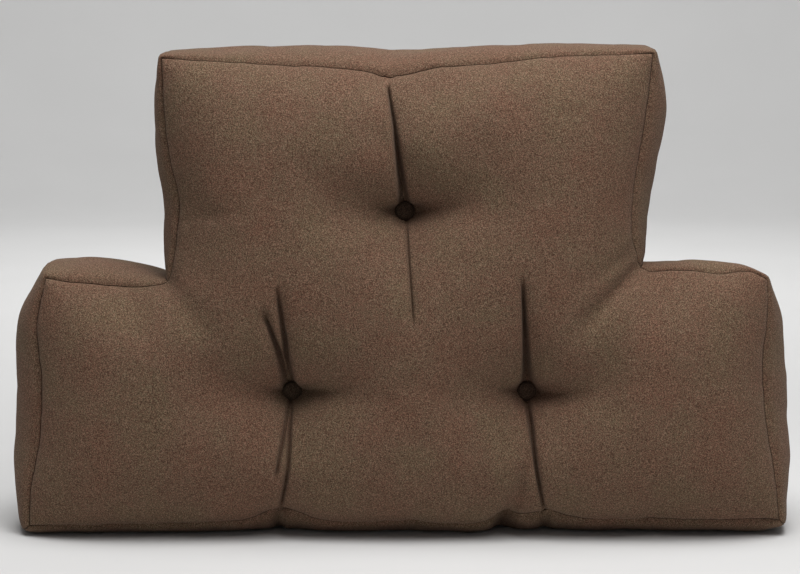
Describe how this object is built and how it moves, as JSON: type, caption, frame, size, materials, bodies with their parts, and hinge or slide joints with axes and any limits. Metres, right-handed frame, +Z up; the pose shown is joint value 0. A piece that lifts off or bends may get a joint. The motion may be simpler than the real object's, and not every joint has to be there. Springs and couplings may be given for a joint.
{
  "type": "tufted back cushion",
  "caption": "Stuffed armchair back cushion with a boxed, stepped outline, button tufts through its depth and a zip across its lower back.",
  "frame": {"origin": "middle of the flat underside that stands on the seat, halfway across and halfway through the depth", "axes": "+X across the cushion to the right of someone facing its front, +Y from the front to the back, +Z up"},
  "size_m": [0.6014, 0.1557, 0.3716],
  "materials": {
    "upholstery_fabric": "flat woven melange upholstery, matt",
    "liner_fabric": "non-woven polypropylene bag cloth",
    "fibre_fill": "blown polyester fibre, wrapped",
    "button_aluminium": "pressed, mill finish",
    "button_wire": "zinc plated wire",
    "tufting_twine": "waxed polyester twine",
    "zip_tape": "woven polyester tape",
    "zip_coil": "nylon coil",
    "zip_metal": "lacquered zinc, antique bronze colour",
    "care_label": "woven satin label, left blank"
  },
  "bodies": {
    "cushion": {"back_panel_lower": "upholstery_fabric", "back_panel_upper": "upholstery_fabric", "bottom_band": "upholstery_fabric", "care_label": "care_label", "crown_band": "upholstery_fabric", "fibre_fill": "fibre_fill", "front_panel": "upholstery_fabric", "left_wing_band": "upholstery_fabric", "liner_back": "liner_fabric", "liner_front": "liner_fabric", "lower_left_back_button_eye": "button_wire", "lower_left_back_button_fabric": "upholstery_fabric", "lower_left_back_button_plate": "button_aluminium", "lower_left_back_button_shell": "button_aluminium", "lower_left_front_button_eye": "button_wire", "lower_left_front_button_fabric": "upholstery_fabric", "lower_left_front_button_plate": "button_aluminium", "lower_left_front_button_shell": "button_aluminium", "lower_left_tuft_twine": "tufting_twine", "lower_right_back_button_eye": "button_wire", "lower_right_back_button_fabric": "upholstery_fabric", "lower_right_back_button_plate": "button_aluminium", "lower_right_back_button_shell": "button_aluminium", "lower_right_front_button_eye": "button_wire", "lower_right_front_button_fabric": "upholstery_fabric", "lower_right_front_button_plate": "button_aluminium", "lower_right_front_button_shell": "button_aluminium", "lower_right_tuft_twine": "tufting_twine", "right_wing_band": "upholstery_fabric", "upper_back_button_eye": "button_wire", "upper_back_button_fabric": "upholstery_fabric", "upper_back_button_plate": "button_aluminium", "upper_back_button_shell": "button_aluminium", "upper_front_button_eye": "button_wire", "upper_front_button_fabric": "upholstery_fabric", "upper_front_button_plate": "button_aluminium", "upper_front_button_shell": "button_aluminium", "upper_tuft_twine": "tufting_twine", "zip_bottom_stop": "zip_metal", "zip_coil_lower": "zip_coil", "zip_coil_upper": "zip_coil", "zip_tape_lower": "zip_tape", "zip_tape_upper": "zip_tape", "zip_top_stops": "zip_metal"},
    "zip_slider": {"zip_slider": "zip_metal"},
    "zip_tab": {"zip_pull_tab": "zip_metal"}
  },
  "joints": [
    {"name": "zip_slide", "type": "slide", "parent": "cushion", "child": "zip_slider", "axis": [-1, 0, 0], "range_m": [0, 0.436]},
    {"name": "pull_tab_swing", "type": "hinge", "parent": "zip_slider", "child": "zip_tab", "pos_m": [0.218, 0.0782, 0.049], "axis": [0, 0, -1], "range_deg": [0, 180]}
  ]
}
